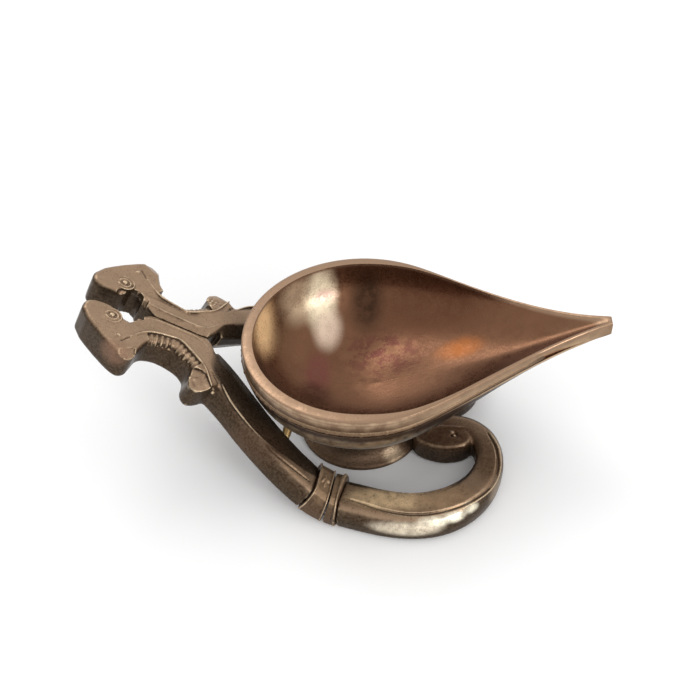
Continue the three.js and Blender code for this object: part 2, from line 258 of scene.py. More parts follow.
studio_floor()
white_world()
lamp_middle = (0, 0, 0.02)
soft_lamp("window_light", place=(-0.35, 0.45, 0.75), aim=lamp_middle, size=0.5, watts=1.6)
soft_lamp("front_light", place=(0.62, -0.62, 0.32), aim=lamp_middle, size=0.3, watts=3.0)

# %% [markdown]
# A few moves repeat all through the lesson: start with nothing selected, take a copy of a CAD
# piece as clay, cut it, add clay to it, and melt it all into one skin. A cast piece has no
# sharp corner anywhere, because the sand of its mould rounds them, and a voxel remesh with a
# little smoothing gives just that look.

# %% Pick up, copy and finish pieces
same_place = 1e-6


def only(piece):
    """Selects one piece and nothing else."""
    bpy.ops.object.select_all(action="DESELECT")
    piece.select_set(True)
    bpy.context.view_layer.objects.active = piece


def clay_copy(node, name):
    """A copy of a CAD piece with its loose triangles merged."""
    piece = bpy.data.objects.new(name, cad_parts[node].data.copy())
    piece.data.materials.clear()
    bpy.context.scene.collection.objects.link(piece)
    only(piece)
    bpy.ops.object.mode_set(mode="EDIT")
    bpy.ops.mesh.select_all(action="SELECT")
    bpy.ops.mesh.remove_doubles(threshold=same_place)
    bpy.ops.object.mode_set(mode="OBJECT")
    return piece


def apply_modifier(piece, kind, **settings):
    """Adds a modifier of this kind and applies it at once."""
    only(piece)
    modifier = piece.modifiers.new(kind.lower(), kind)
    for key, value in settings.items():
        setattr(modifier, key, value)
    bpy.ops.object.modifier_apply(modifier=modifier.name)


def cut(piece, cutter):
    """Cuts a tool's shape out of a piece, and puts the tool away."""
    apply_modifier(piece, "BOOLEAN", operation="DIFFERENCE", solver="EXACT", object=cutter)
    bpy.data.objects.remove(cutter)


def join(piece, others):
    """Adds the other pieces to this one."""
    only(piece)
    for other in others:
        other.select_set(True)
    bpy.ops.object.join()


def melt(piece, voxel, passes):
    """Melts a piece and all that was joined to it into one closed skin."""
    apply_modifier(piece, "REMESH", mode="VOXEL", voxel_size=voxel * MM)
    apply_modifier(piece, "SMOOTH", factor=0.5, iterations=passes)


def face_out(piece):
    """Merges doubled points and turns all faces outwards."""
    only(piece)
    bpy.ops.object.mode_set(mode="EDIT")
    bpy.ops.mesh.select_all(action="SELECT")
    bpy.ops.mesh.remove_doubles(threshold=same_place)
    bpy.ops.mesh.normals_make_consistent(inside=False)
    bpy.ops.object.mode_set(mode="OBJECT")


def store(piece, name, values):
    """Stores one number for each point, which the finish reads by this name."""
    layer = piece.data.attributes.new(name, "FLOAT", "POINT")
    layer.data.foreach_set("value", np.asarray(values, np.float32))


def places_of(piece):
    """The piece's points, in millimetres from the middle of the bowl's own drawing, and its normals."""
    count = len(piece.data.vertices)
    points = np.empty(count * 3)
    normals = np.empty(count * 3, np.float32)
    piece.data.vertices.foreach_get("co", points)
    piece.data.vertices.foreach_get("normal", normals)
    return points.reshape(-1, 3) / MM - (lamp_shift / MM, 0, 0), normals.reshape(-1, 3)


def store_wear_and_shade(piece, reach, passes=8):
    """Stores how far each point stands out of its smoothed surroundings, as a share of reach, from
    -1 in a hollow to 1 on an edge. Hands polish the edges, and soot and oil stay in the hollows;
    from it the finishes also paint a highlight on the edges and shade in the hollows."""
    points, normals = places_of(piece)
    count = len(points)
    ends = np.empty(len(piece.data.edges) * 2, int)
    piece.data.edges.foreach_get("vertices", ends)
    ends = ends.reshape(-1, 2)
    near = np.bincount(ends.ravel(), minlength=count)[:, None]
    smoothed = points.copy()
    for _ in range(passes):
        total = np.zeros_like(points)
        for axis in range(3):
            for here, there in (ends.T, ends.T[::-1]):
                total[:, axis] += np.bincount(here, smoothed[there, axis], count)
        smoothed = 0.4 * smoothed + 0.6 * total / np.maximum(near, 1)
    stands = ((points - smoothed) * normals).sum(axis=1) / reach
    store(piece, "wear_and_shade", np.clip(stands, -1, 1))
    print(piece.name, "wear_and_shade", np.round(np.percentile(stands, [2, 25, 50, 75, 98]), 2))


def hand_over(piece, material, slot, *nodes):
    """The last step of every piece: its finish, its body and the nodes it stands for. The slot is not used.
    """
    piece.data.materials.clear()
    piece.data.materials.append(material)
    only(piece)
    bpy.ops.object.shade_smooth()
    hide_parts(*nodes)
    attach(piece, "root")
    print(piece.name, "faces:", len(piece.data.polygons))


# %% [markdown]
# Old brass is never one colour, and these finishes paint light and shade into it as well. The
# faces that look up are painted a soft tan, as if lit from above, and the walls that look
# sideways a dark brown painted shade; what faces the other arm gets a near-black painted shade.
# Grease and soot stay nearly black in the grooves, which a painted shade darkens too, and the
# edges get a painted highlight along with the polish of hands. So the finish mixes these tones
# by where the surface faces and by how far it stands out, and then clouds them a little with
# noise of several sizes. Ovals of a lighter or darker tone stand for stains and tones, for
# painted light and painted highlights, and on the foot for painted shade. The film of age over
# the brass hides part of its shine, so these finishes are only half metallic. An oval is
# written as its colour, its middle, its three radii and how strongly it shows.

# %% Mix the finish of cast brass
# The pale edge colour is polish and a painted highlight; the near-black is soot, and in grooves also a
# painted shade.
edge_polish_and_highlight = colour(232, 206, 172)
soot_and_groove_shade = colour(44, 30, 20)
old_grease = colour(92, 62, 46)
half_metallic = 0.55


def cast_brass(name, face, wall, edge=edge_polish_and_highlight, patches=(), rough=0.30, dark=None, depth=0.018):
    """A finish: the colours of what looks up, of walls, of edges and of what faces the other arm.
    The face colour carries painted light, the edge colour polish and a painted highlight, and the
    wall and dark colours painted shade.
    """
    finish = Finish(name)
    wear_and_shade = finish.attribute("wear_and_shade")
    broad = finish.noise(9)
    middle = finish.noise(2.6, rough=0.65)
    fine = finish.noise(0.7, detail=4)
    specks = finish.noise(0.4, detail=2).ramp(0.78, 0.98)
    # Painted light and shade: faces that look up take the face colour, as if lit from above, and walls the
    # dark wall colour.
    upward = (finish.attribute("top") + 0.12 * (middle - 0.5)).ramp(0.40, 0.93)
    base = finish.mix(upward, wall, face)
    # Painted shade: where a piece faces the other arm, or looks down past the neck's ridge, it takes the
    # near-black dark colour.
    if dark:
        base = finish.mix(0.92 * finish.attribute("shade"), base, dark)
    for tint, centre, radii, amount in patches:
        share = finish.patch(centre, radii) * (0.75 + 0.4 * middle) * amount
        base = finish.mix(share, base, tint)
    base = finish.mix(0.16 * broad, base, soot_and_groove_shade)
    base = finish.mix(0.14 * (1 - middle), base, old_grease)
    base = finish.mix(0.06 * fine, base, edge)
    # The hollows are darkened by soot and a painted shade, and the edges lightened by polish and a painted
    # highlight.
    grooves = (0 - wear_and_shade).ramp(0.12, 0.85)
    edges = (wear_and_shade + 0.2 * (middle - 0.5)).ramp(0.30, 0.95)
    base = finish.mix(0.62 * grooves, base, soot_and_groove_shade)
    base = finish.mix(0.6 * edges, base, edge)
    base = finish.mix(0.3 * specks, base, soot_and_groove_shade)
    roughness = rough + 0.12 * (middle - 0.5) + 0.08 * fine + 0.12 * grooves - 0.05 * edges
    scratches = finish.noise(0.5, stretch=(0.12, 1, 1), detail=1).ramp(0.62, 0.9)
    height = 0.4 * fine + 0.6 * middle - specks - 0.3 * scratches
    return finish.close(base, half_metallic, roughness, height, depth)


scroll_brown = colour(92, 60, 37)
# The colour of a painted highlight on the loop's shoulder.
painted_shoulder_highlight = colour(255, 246, 222)
handle_patches = (
    (scroll_brown, (27, -11, 9), (11, 6.5, 6), 0.95),
    (scroll_brown, (24, 11, 9), (11, 6.5, 6), 0.95),
    (colour(40, 28, 18), (27, -17, 3), (14, 4, 5), 0.8),
    (colour(96, 70, 48), (41.5, -21, 8.5), (5, 10, 4), 0.8),
    # The next seven ovals are painted light and painted highlights on the right loop's top, shoulder and
    # outer side.
    (colour(255, 222, 176), (12, -38, 8.7), (13, 4, 2), 1.0),
    (colour(190, 156, 122), (27, -37, 8.7), (9, 5, 2), 0.8),
    (painted_shoulder_highlight, (24, -45.6, 7.2), (5, 1.7, 1.6), 0.9),
    (painted_shoulder_highlight, (31, -43.6, 7.2), (5, 1.8, 1.6), 0.95),
    (painted_shoulder_highlight, (36, -40.2, 7.4), (3.2, 2, 1.4), 0.8),
    (colour(255, 240, 214), (16, -48.2, 5.6), (14, 2.6, 2.4), 0.9),
    (colour(150, 132, 110), (43.5, -31, 5), (2.5, 6, 3), 0.7),
    (colour(72, 52, 38), (-31, -28.8, 21.5), (12, 6, 6), 0.85),
    (colour(140, 105, 84), (-72, -20, 51), (5, 3.5, 4), 0.6),
)
# The handle's face colour is painted light from above, its wall colour painted shade, and its dark colour the
# painted shade where it faces the other arm.
handle_finish = cast_brass(
    "handle_brass", face=colour(156, 129, 104), wall=colour(48, 34, 19), patches=handle_patches,
    dark=colour(24, 16, 9))
print("materials:", len(bpy.data.materials))

# %% [markdown]
# The arms were drawn flat and then bent: q runs along the lamp, s away from its middle and h
# up from the underside. Carving placed on the arms is made in the same flat drawing, where it
# is easy to aim, and then bent in the same way. These are the bend's own sizes, as in the CAD.
# side is -1 on the right arm and 1 on the left one.

# %% Repeat the bend of the arms
arm_thickness = 8.7
head_thickness = 11
neck_tilt = math.radians(39.5)
head_tilt = math.radians(27)
bend_corner = -13
bend_radius = 22
neck_curve_length = 78
head_end = -105
loop_end = 50
flattening = neck_tilt - head_tilt
bend_start = bend_corner + bend_radius * math.tan(neck_tilt / 2)
bend_length = bend_radius * neck_tilt
curve_radius = neck_curve_length / flattening
left_loop_share = 0.83
shortened_from = 12
left_spread = 2.5


def soft_step(value, low, high):
    """0 below low, 1 above high, and a soft step between them."""
    share = np.clip((value - low) / (high - low), 0, 1)
    return share * share * (3 - 2 * share)


def spread_at(q, side):
    """How much further out the left neck stands behind the bowl."""
    return left_spread * (soft_step(q, -64, -46) - soft_step(q, -15, 10)) * (side > 0)


def bend(q, s, h, side):
    """Where places of the flat drawing are on the lamp, in millimetres."""
    run = np.maximum(0, bend_start - q)
    first = np.minimum(run, bend_length) / bend_radius
    rest = np.clip(run - bend_length, 0, neck_curve_length)
    lean = first - rest / curve_radius
    straight = np.maximum(0, run - bend_length - neck_curve_length)
    past = np.maximum(0, q - shortened_from) * (1 - left_loop_share) * (side > 0)
    bent_x = (bend_start - bend_radius * np.sin(first)
              - curve_radius * (np.sin(first) - np.sin(lean)) - straight * np.cos(lean))
    bent_z = (bend_radius * (1 - np.cos(first))
              + curve_radius * (np.cos(lean) - np.cos(first)) + straight * np.sin(lean))
    high = h * (1 + (head_thickness / arm_thickness - 1) * soft_step(-q, 40, 60))
    x = np.where(run > 0, bent_x, q - past) + high * np.sin(lean)
    z = np.where(run > 0, bent_z, 0) + high * np.cos(lean)
    return x, side * (s + spread_at(q, side)), z, lean


def flat_place(x, high):
    """The place in the flat drawing, and the lean, of points so high above the arms' underside."""
    q = np.linspace(head_end, loop_end, 600)
    along, _, _, lean = bend(q, 0 * q, 0 * q + high, arms["right"])
    return np.interp(x, along, q), np.interp(x, along, lean)


def store_facing(piece, side=0, ridge=None):
    """Stores as "top" how squarely each point faces up, where on the necks "up" leans back with
    the neck, from which the finish paints light on what looks up and shade on walls, and as
    "shade" how much it faces the other arm, which the finish paints in shade. On the right neck,
    the side that looks down past the ridge is painted in shade too."""
    points, normals = places_of(piece)
    lean = flat_place(points[:, 0], 5)[1] if side else 0
    store(piece, "top", normals[:, 0] * np.sin(lean) + normals[:, 2] * np.cos(lean))
    shade = soft_step(-side * normals[:, 1], 0.10, 0.28)
    if ridge:
        q = flat_place(points[:, 0], 7)[0]
        s = side * points[:, 1] - spread_at(q, side)
        beyond = soft_step(np.interp(q, *np.array(ridge).T) - s, 0.1, 0.8)
        shade = np.maximum(shade, beyond * (side < 0)) * soft_step(q, -60.5, -57)
    store(piece, "shade", shade)


def bend_onto_arm(piece, side):
    """Moves a piece's points from the flat drawing onto an arm."""
    flat = np.empty(len(piece.data.vertices) * 3)
    piece.data.vertices.foreach_get("co", flat)
    x, y, z, _ = bend(*(flat.reshape(-1, 3).T / MM), side)
    bent = np.stack([x * MM + lamp_shift, y * MM, z * MM], axis=1)
    piece.data.vertices.foreach_set("co", bent.ravel())
    if side < 0:
        piece.data.flip_normals()
    return piece


# %% [markdown]
# Carving needs three tools. A strand is a round wire along a line of points: added, it is a
# ridge, and cut away, it is a groove. A bead is a ball pressed into an oval, for petals, eyes
# and knobs. A slab is a flat shape with straight walls, used to lower a whole field.

# %% Make the three carving tools
def strand(points, radius, side, height=arm_thickness):
    """A wire in the flat drawing. Points are (q, s) or (q, s, h); the ends taper."""
    line = bpy.data.curves.new("strand", "CURVE")
    line.dimensions = "3D"
    line.bevel_depth = radius * MM
    line.bevel_resolution = 2
    line.resolution_u = 5
    line.use_fill_caps = True
    spline = line.splines.new("NURBS")
    spline.points.add(len(points) - 1)
    spline.order_u = 3
    spline.use_endpoint_u = True
    for point, (q, s, *h) in zip(spline.points, points):
        point.co = (q * MM, s * MM, (h[0] if h else height) * MM, 1)
    spline.points[0].radius = spline.points[-1].radius = 0.6
    piece = bpy.data.objects.new("strand", line)
    bpy.context.scene.collection.objects.link(piece)
    only(piece)
    bpy.ops.object.convert(target="MESH")
    piece = bpy.context.object
    face_out(piece)
    return bend_onto_arm(piece, side)


def bead(place, radii, turn, side, tip=0.0):
    """An oval bead in the flat drawing: radii along and across it and up, turned by degrees
    in plan and tipped down towards its far end."""
    bpy.ops.mesh.primitive_uv_sphere_add(segments=16, ring_count=10, radius=1)
    piece = bpy.context.object
    turned = Matrix.Rotation(math.radians(turn), 4, "Z") @ Matrix.Rotation(math.radians(tip), 4, "Y")
    sized = Matrix.Diagonal([r * MM for r in radii]).to_4x4()
    piece.data.transform(Matrix.Translation([v * MM for v in place]) @ turned @ sized)
    return bend_onto_arm(piece, side)


def slab(outline, thick, side):
    """A closed plate over an outline of (q, s, h) points, from each point's h up. With unequal
    heights its underside is a slope."""
    bpy.ops.mesh.primitive_circle_add(vertices=len(outline), fill_type="NGON", radius=MM)
    piece = bpy.context.object
    for vertex, (q, s, h) in zip(piece.data.vertices, outline):
        vertex.co = (q * MM, s * MM, h * MM)
    bpy.ops.object.mode_set(mode="EDIT")
    bpy.ops.mesh.select_all(action="SELECT")
    bpy.ops.mesh.extrude_region_move(TRANSFORM_OT_translate={"value": (0, 0, thick * MM)})
    bpy.ops.mesh.select_all(action="SELECT")
    bpy.ops.mesh.quads_convert_to_tris()
    bpy.ops.object.mode_set(mode="OBJECT")
    face_out(piece)
    return bend_onto_arm(piece, side)


# %% [markdown]
# The loop is a thick flat bar bent round beside the bowl. On the real one a fine groove runs
# inside its outer shoulder, with a low ridge beyond it, and another groove inside its inner
# edge. The bar rolls in to a scroll whose eye is a small sunk dimple with two grains of metal
# in it. Displacement could draw the grooves, but cutting them with a wire leaves their edges
# where a chisel would, and light catches on them.

# %% Model the loops and scrolls
outer_groove = [
    (-3.0, 38.6), (1.3, 40.0), (7.5, 42.4), (13.6, 43.9), (19.7, 44.1), (25.7, 42.9), (31.8, 40.5),
    (36.4, 37.4), (40.5, 33.6), (42.9, 29.2), (44.2, 23.9), (44.2, 18.6), (43.2, 14.0), (41.0, 9.6)]
inner_groove = [
    (2.0, 33.2), (7.8, 34.8), (13.5, 35.7), (19.6, 36.1), (25.8, 34.5), (28.9, 33.2), (31.4, 31.2),
    (33.9, 28.3), (36.2, 24.6), (37.3, 20.1), (37.6, 16.5)]
scroll_ridge = [
    (21.6, 12.6), (22.1, 11.2), (23.1, 9.5), (24.1, 8.6), (25.7, 8.3), (28.6, 8.4), (31.5, 8.3), (34.5, 8.6)]


def inside_of(line, step):
    """The same line of points, moved sideways by a step in the flat drawing."""
    points = np.array(line, float)
    ahead = np.gradient(points, axis=0)
    ahead /= np.linalg.norm(ahead, axis=1, keepdims=True)
    return [tuple(p) for p in points + step * np.stack([ahead[:, 1], -ahead[:, 0]], axis=1)]


def loop_piece(name, side):
    """The clay is melted coarsely, grooved, given its ridges and melted again, more finely."""
    piece = clay_copy(f"{name}_loop_and_scroll", f"{name}_cast_loop")
    melt(piece, voxel=0.45, passes=7)
    cut(piece, strand(outer_groove, 0.5, side, height=8.5))
    cut(piece, strand(inner_groove, 0.5, side, height=8.6))
    cut(piece, bead((30.5, 11.8, 8.9), radii=(1.6, 1.3, 0.8), turn=20, side=side))
    join(piece, [
        strand(inside_of(outer_groove, -0.95), 0.3, side, height=8.35),
        strand(scroll_ridge, 0.5, side, height=8.5),
        bead((29.9, 10.8, 8.6), radii=(0.7, 0.6, 0.5), turn=0, side=side),
        bead((30.6, 12.0, 8.4), radii=(0.6, 0.5, 0.5), turn=0, side=side)])
    melt(piece, voxel=0.28, passes=2)
    store_wear_and_shade(piece, reach=0.12)
    store_facing(piece, side)
    hand_over(piece, handle_finish, "satin_brass", f"{name}_loop_and_scroll")


for name, side in arms.items():
    loop_piece(name, side)

# %% [markdown]
# The necks rise behind the bowl and end in heads that touch brow to brow. Along the outer
# curve of each head runs a raised rib, and from it hangs a mane of small petals, one beside
# the other, down to a round knob like a folded leaf. Every line of the carving is written down
# first, as places (q, s) or (q, s, h) of the flat drawing.

# %% Lay out the carving of a head
mane_line = [
    (-86.0, 13.3), (-83.8, 10.8), (-81.6, 8.8), (-79.4, 7.7), (-76.6, 7.1), (-74.2, 6.7), (-71.8, 6.3),
    (-69.6, 7.2), (-67.4, 8.8), (-65.2, 10.3), (-63.2, 11.9), (-61.5, 14.0), (-60.2, 16.7), (-58.8, 19.2)]
mouth_line = [
    (-92.4, 18.2), (-90.3, 17.4), (-88.2, 16.3), (-86.7, 14.3), (-85.0, 12.0), (-83.4, 10.2), (-81.4, 9.0)]
neck_groove = [
    (-59.6, 13.2), (-57.4, 16.2), (-54.8, 19.6), (-52.2, 22.2), (-50.0, 23.8), (-44.5, 26.5), (-37.8, 29.9),
    (-31.7, 32.3), (-24.9, 34.2), (-20.4, 35.4)]
neck_ridge = [
    (-61.8, 8.4), (-59.6, 11.4), (-57.3, 14.6), (-54.2, 18.3), (-51.1, 21.4), (-46.4, 24.2), (-41.2, 27.2),
    (-35.4, 29.6), (-28.4, 31.3), (-21.6, 32.8)]
contact_ridge = [
    (-82.6, 3.2), (-80.0, 2.5), (-76.0, 2.4), (-71.0, 2.3), (-66.0, 2.4), (-63.0, 4.0), (-60.6, 6.6)]
valley = [
    (-84.6, -1.0, 7.2), (-66.0, -1.0, 7.2), (-62.6, -1.0, 7.6), (-62.8, 1.2, 8.5), (-65.6, 2.1, 8.65),
    (-71.0, 2.1, 8.65), (-76.0, 2.2, 8.65), (-80.0, 2.4, 8.65), (-83.0, 3.4, 8.6), (-84.6, 3.4, 8.0)]
throat = [
    (-93.4, 4.2, 8.4), (-92.0, 5.6, 8.5), (-90.6, 7.0, 8.5), (-89.0, 8.0, 8.5), (-87.2, 7.6, 8.5),
    (-85.2, 6.6, 8.5), (-83.4, 4.2, 8.3), (-84.0, 0.5, 4.6), (-93.2, 0.5, 5.2)]
hole = [
    (-91.2, -1.0, -6.0), (-84.8, -1.0, -6.0), (-85.3, 5.4, -6.0), (-87.0, 7.3, -6.0), (-89.2, 6.9, -6.0),
    (-90.7, 5.2, -6.0)]
jaw = [
    (-88.6, 20.0, 8.7), (-86.4, 18.6, 8.6), (-83.6, 17.0, 8.3), (-82.6, 20.5, 6.8), (-84.5, 23.0, 6.2),
    (-88.0, 23.0, 6.6)]
knob_field = [
    (-67.8, 15.2, 7.0), (-65.0, 14.6, 7.6), (-62.6, 14.6, 7.9), (-60.8, 16.0, 8.1), (-59.4, 18.4, 8.2),
    (-57.4, 21.0, 8.3), (-60.0, 26.0, 5.6), (-68.0, 26.0, 5.0)]
knob_crescent = [
    (-65.2, 17.4, 6.9), (-65.0, 19.4, 6.4), (-63.8, 21.0, 6.0), (-61.8, 20.9, 6.1), (-60.2, 19.6, 6.7)]


def walk(points, step):
    """Places at even steps along a line, each with the direction of the line there."""
    line = np.array(points, float)
    lengths = np.r_[0, np.cumsum(np.hypot(*np.diff(line, axis=0).T))]
    count = int(lengths[-1] / step)
    at = np.linspace(step / 2, lengths[-1] - step / 2, count)
    q, s = (np.interp(at, lengths, line[:, i]) for i in (0, 1))
    ahead = np.interp(at + 0.5, lengths, line[:, 0]) - np.interp(at - 0.5, lengths, line[:, 0])
    out = np.interp(at + 0.5, lengths, line[:, 1]) - np.interp(at - 0.5, lengths, line[:, 1])
    return list(zip(q, s, np.degrees(np.arctan2(out, ahead))))


def beside_mane(near, high, far, low):
    """A slope beside the rib, between two distances from it and two heights."""
    middle_part = mane_line[2:11]
    inner = [(q, s, high) for q, s in inside_of(middle_part, -near)]
    outer = [(q, s, low) for q, s in inside_of(middle_part, -far)]
    return inner + outer[::-1]


# %% [markdown]
# What is raised on a head is small: petals, a knob, the rings of the eye and the lumps of the
# jaw. They look pressed on in wax, and no two petals are alike. So they are pressed beads here
# too, whose sizes come from a seeded chance.

# %% Make the raised carving
petal_step = 1.75
petal_slope = 31
knob_middle = (-62.6, 18.4, 6.4)
eye_rings = ((2.7, 0.26, 0.9, 5.6), (1.7, 0.3, 0.2, 6.0))


def mane_petals(side, chance):
    petals = []
    for q, s, turn in walk(mane_line, petal_step):
        length = chance.uniform(1.4, 1.7)
        away = math.radians(turn + 90)
        reach = length + 0.1
        middle = (q + math.cos(away) * reach, s + math.sin(away) * reach, 8.2 - 0.6 * reach)
        radii = (length, chance.uniform(0.8, 0.94), 0.62)
        petals.append(bead(middle, radii, turn + 90, side, petal_slope))
    return petals


def knob(side):
    """A ball in a crescent, with three grains beside the right one and scales on the left one."""
    pieces = [strand(knob_crescent, 0.8, side), bead(knob_middle, (2.6, 2.4, 1.5), 60, side)]
    if side < 0:
        for i in range(3):
            pieces.append(bead((-57.8 + 0.1 * i, 17.8 + 1.1 * i, 7.3), (0.6, 0.5, 0.5), 0, side))
    else:
        for row in range(3):
            for i in range(4):
                scale = (-64.6 + 1.25 * i + 0.5 * row, 15.6 + 1.4 * row, 7.9 - 0.25 * row)
                pieces.append(bead(scale, (0.75, 0.55, 0.5), 60, side, 20))
    return pieces


def ringed_eye(q, s, side):
    """A low ball in two open rings, each with its radius, its wire and the turns it runs between."""
    pieces = []
    for radius, wire, start, stop in eye_rings:
        around = [(q - radius * 1.1 * math.cos(turn), s - radius * math.sin(turn))
                  for turn in np.linspace(start, stop, 13)]
        pieces.append(strand(around, wire, side, height=8.68))
    pieces.append(bead((q, s, 8.7), (0.9, 0.8, 0.55), 0, side))
    return pieces


def jaw_and_throat(side, chance):
    """The nostril, the lip, the folds of the jaw and the lumps round the hole."""
    pieces = [
        bead((-89.2, 14.6, 8.6), (0.9, 0.7, 0.5), 30, side),
        strand([(-91.0, 17.3, 8.5), (-88.6, 16.9, 8.3), (-86.0, 15.4, 8.0)], 0.4, side)]
    for i in range(4):
        pieces.append(bead((-84.4 + 0.7 * i, 16.6 - 0.7 * i, 7.7), (0.9, 0.5, 0.6), 60, side))
    for i in range(5):
        s = 6.3 + 1.3 * math.sin(math.pi * (i + 0.5) / 5)
        lump = (-90.8 + 1.25 * i, s, 7.1 + chance.uniform(-0.5, 0.5))
        pieces.append(bead(lump, (0.9, 0.9, chance.uniform(0.6, 1.1)), 0, side))
    return pieces


def head_carving(side, eye, chance):
    ribs = [
        strand(mane_line, 0.42, side, height=8.6),
        strand(neck_ridge, 0.36, side, height=8.42),
        strand(contact_ridge, 0.4, side, height=8.55)]
    return [*ribs, *mane_petals(side, chance), *knob(side), *ringed_eye(*eye, side),
            *jaw_and_throat(side, chance)]


# %% [markdown]
# Whole fields of the head are lowered first, such as the slope under the mane and the valley
# where the brows meet, then the lines are cut, and the raised parts go on last. Sculpting by
# brush could do the same, but it can't be written down.

# %% Model the necks and heads
field_thickness = 18
eyes = {"right": (-92.7, 7.6), "left": (-92.0, 7.8)}
seeds = {"right": 5, "left": 9}


def neck_piece(name, side):
    piece = clay_copy(f"{name}_neck_and_head", f"{name}_cast_neck")
    melt(piece, voxel=0.42, passes=7)
    petal_field = beside_mane(near=0.5, high=8.0, far=6.0, low=4.2)
    mane_wall = beside_mane(near=3.1, high=6.2, far=5.8, low=-5.5)
    for field in (petal_field, mane_wall, knob_field, valley, throat, jaw, hole):
        cut(piece, slab(field, field_thickness, side))
    cut(piece, strand(mouth_line, 0.36, side, height=8.6))
    cut(piece, strand(neck_groove, 0.42, side, height=8.55))
    join(piece, head_carving(side, eyes[name], random.Random(seeds[name])))
    melt(piece, voxel=0.26, passes=2)
    store_wear_and_shade(piece, reach=0.14)
    store_facing(piece, side, neck_ridge)
    hand_over(piece, handle_finish, "satin_brass", f"{name}_neck_and_head")


for name, side in arms.items():
    neck_piece(name, side)

# %% [markdown]
# The bowl is one thin casting, leaf-shaped in plan, scraped smooth inside and left rough below
# the rim. Its rim is level round the back and rises in a curve along the lip. The finish needs
# to know how far below the rim a point lies, so that is worked out here as the CAD draws it.

# %% Write down where the bowl's surfaces are
rim_height = 42
lip_rise = 7.4
lip_tip = 76.8
lip_start = 10


def below_rim(piece):
    """How far each point lies below the rim, which rises along the lip, in millimetres."""
    x, _, z = places_of(piece)[0].T
    span = lip_tip - bowl_centre
    along = np.clip((x - lip_start - bowl_centre) / span, 0, 1) / ((span - lip_start) / span)
    return rim_height + lip_rise * along ** 2 - z


# %% [markdown]
# Inside, the bowl is the one polished place of the lamp: a brown mirror with cream reflections
# of a window at its back, a dark bar between them, and violet stains left by burnt oil. A true
# mirror would show this bare studio, so the soft reflections and the dark bar are painted ovals
# of colour, and the near wall gets ovals of painted shade. Where the light ones lie, the metal
# is made duller, so that they stay in place.

# %% Mix the finish of the bowl
bowl_patches = (
    (colour(98, 64, 46), (26, 26, 33), (26, 12, 14), 0.85),
    # Painted shade on the near wall, from the lip down to the floor:
    (colour(90, 60, 42), (38, -14, 40), (30, 9, 9), 0.7),
    (colour(78, 50, 36), (0, -20, 27), (34, 12, 9), 0.65),
    # Painted reflections of a window, cream and warm yellow:
    (colour(240, 214, 178), (-22, 23, 36), (7, 8, 7), 0.6),
    (colour(255, 212, 158), (-31.5, 8, 36), (4, 9, 9), 0.95),
    # A darker tone beside them:
    (colour(112, 84, 60), (-27, 13, 28), (4, 10, 10), 0.5),
    # More painted reflections of the window:
    (colour(255, 238, 204), (-14.5, 27, 34), (4.5, 10, 10), 1.0),
    (colour(240, 214, 190), (-12, 20, 25), (4, 7, 5), 0.85),
    # A painted dark reflection, the bar between the cream ones:
    (colour(62, 42, 29), (0.8, 29, 30), (5, 9, 10), 0.95),
    (colour(118, 70, 62), (-14.2, 3, 21), (4, 8, 4), 0.85),
    (colour(72, 42, 31), (-14.6, -7, 21), (5, 5, 4), 0.8),
    # A pale pink painted reflection beside the cream one:
    (colour(184, 148, 134), (-13.4, 28.4, 32.5), (4, 3, 2.2), 0.85),
    (colour(120, 86, 64), (50, -2, 42), (9, 7, 8), 0.7),
    (colour(122, 90, 68), (66, 0, 46), (10, 6, 6), 0.85),
    (colour(150, 90, 48), (31, 7, 30), (10, 3.4, 4), 0.85))
reflection_from = 0.2


